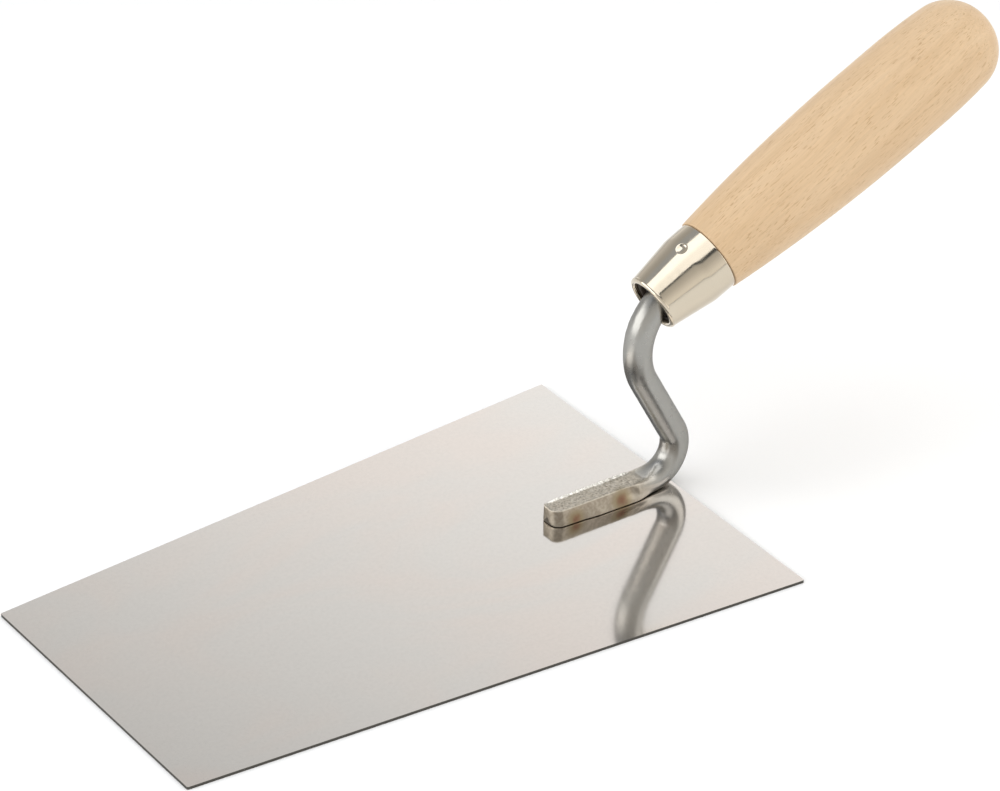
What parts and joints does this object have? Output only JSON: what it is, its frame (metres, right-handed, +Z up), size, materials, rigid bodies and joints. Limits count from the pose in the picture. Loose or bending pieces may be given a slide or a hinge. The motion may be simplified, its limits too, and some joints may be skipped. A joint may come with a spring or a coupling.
{
  "type": "plastering trowel",
  "caption": "Flat tapered steel trowel blade with a bent round neck spot-welded to its foot and a turned wooden handle in a metal ferrule.",
  "frame": {"origin": "middle of the blade's underside, on the flat working face", "axes": "+X along the blade towards the handle, +Z up from the blade, the tool mirrored in Y"},
  "size_m": [0.3135, 0.13, 0.1308],
  "materials": {
    "blade_steel": "ground and polished stainless sheet",
    "neck_steel": "satin tumbled steel bar",
    "weld_metal": "heat-tinted weld metal",
    "ferrule_nickel": "bright nickel plate",
    "handle_beech": "sanded and waxed beech"
  },
  "bodies": {
    "root": {"blade": "blade_steel", "neck": "neck_steel", "spot_welds": "weld_metal", "ferrule": "ferrule_nickel", "handle": "handle_beech"}
  },
  "joints": []
}
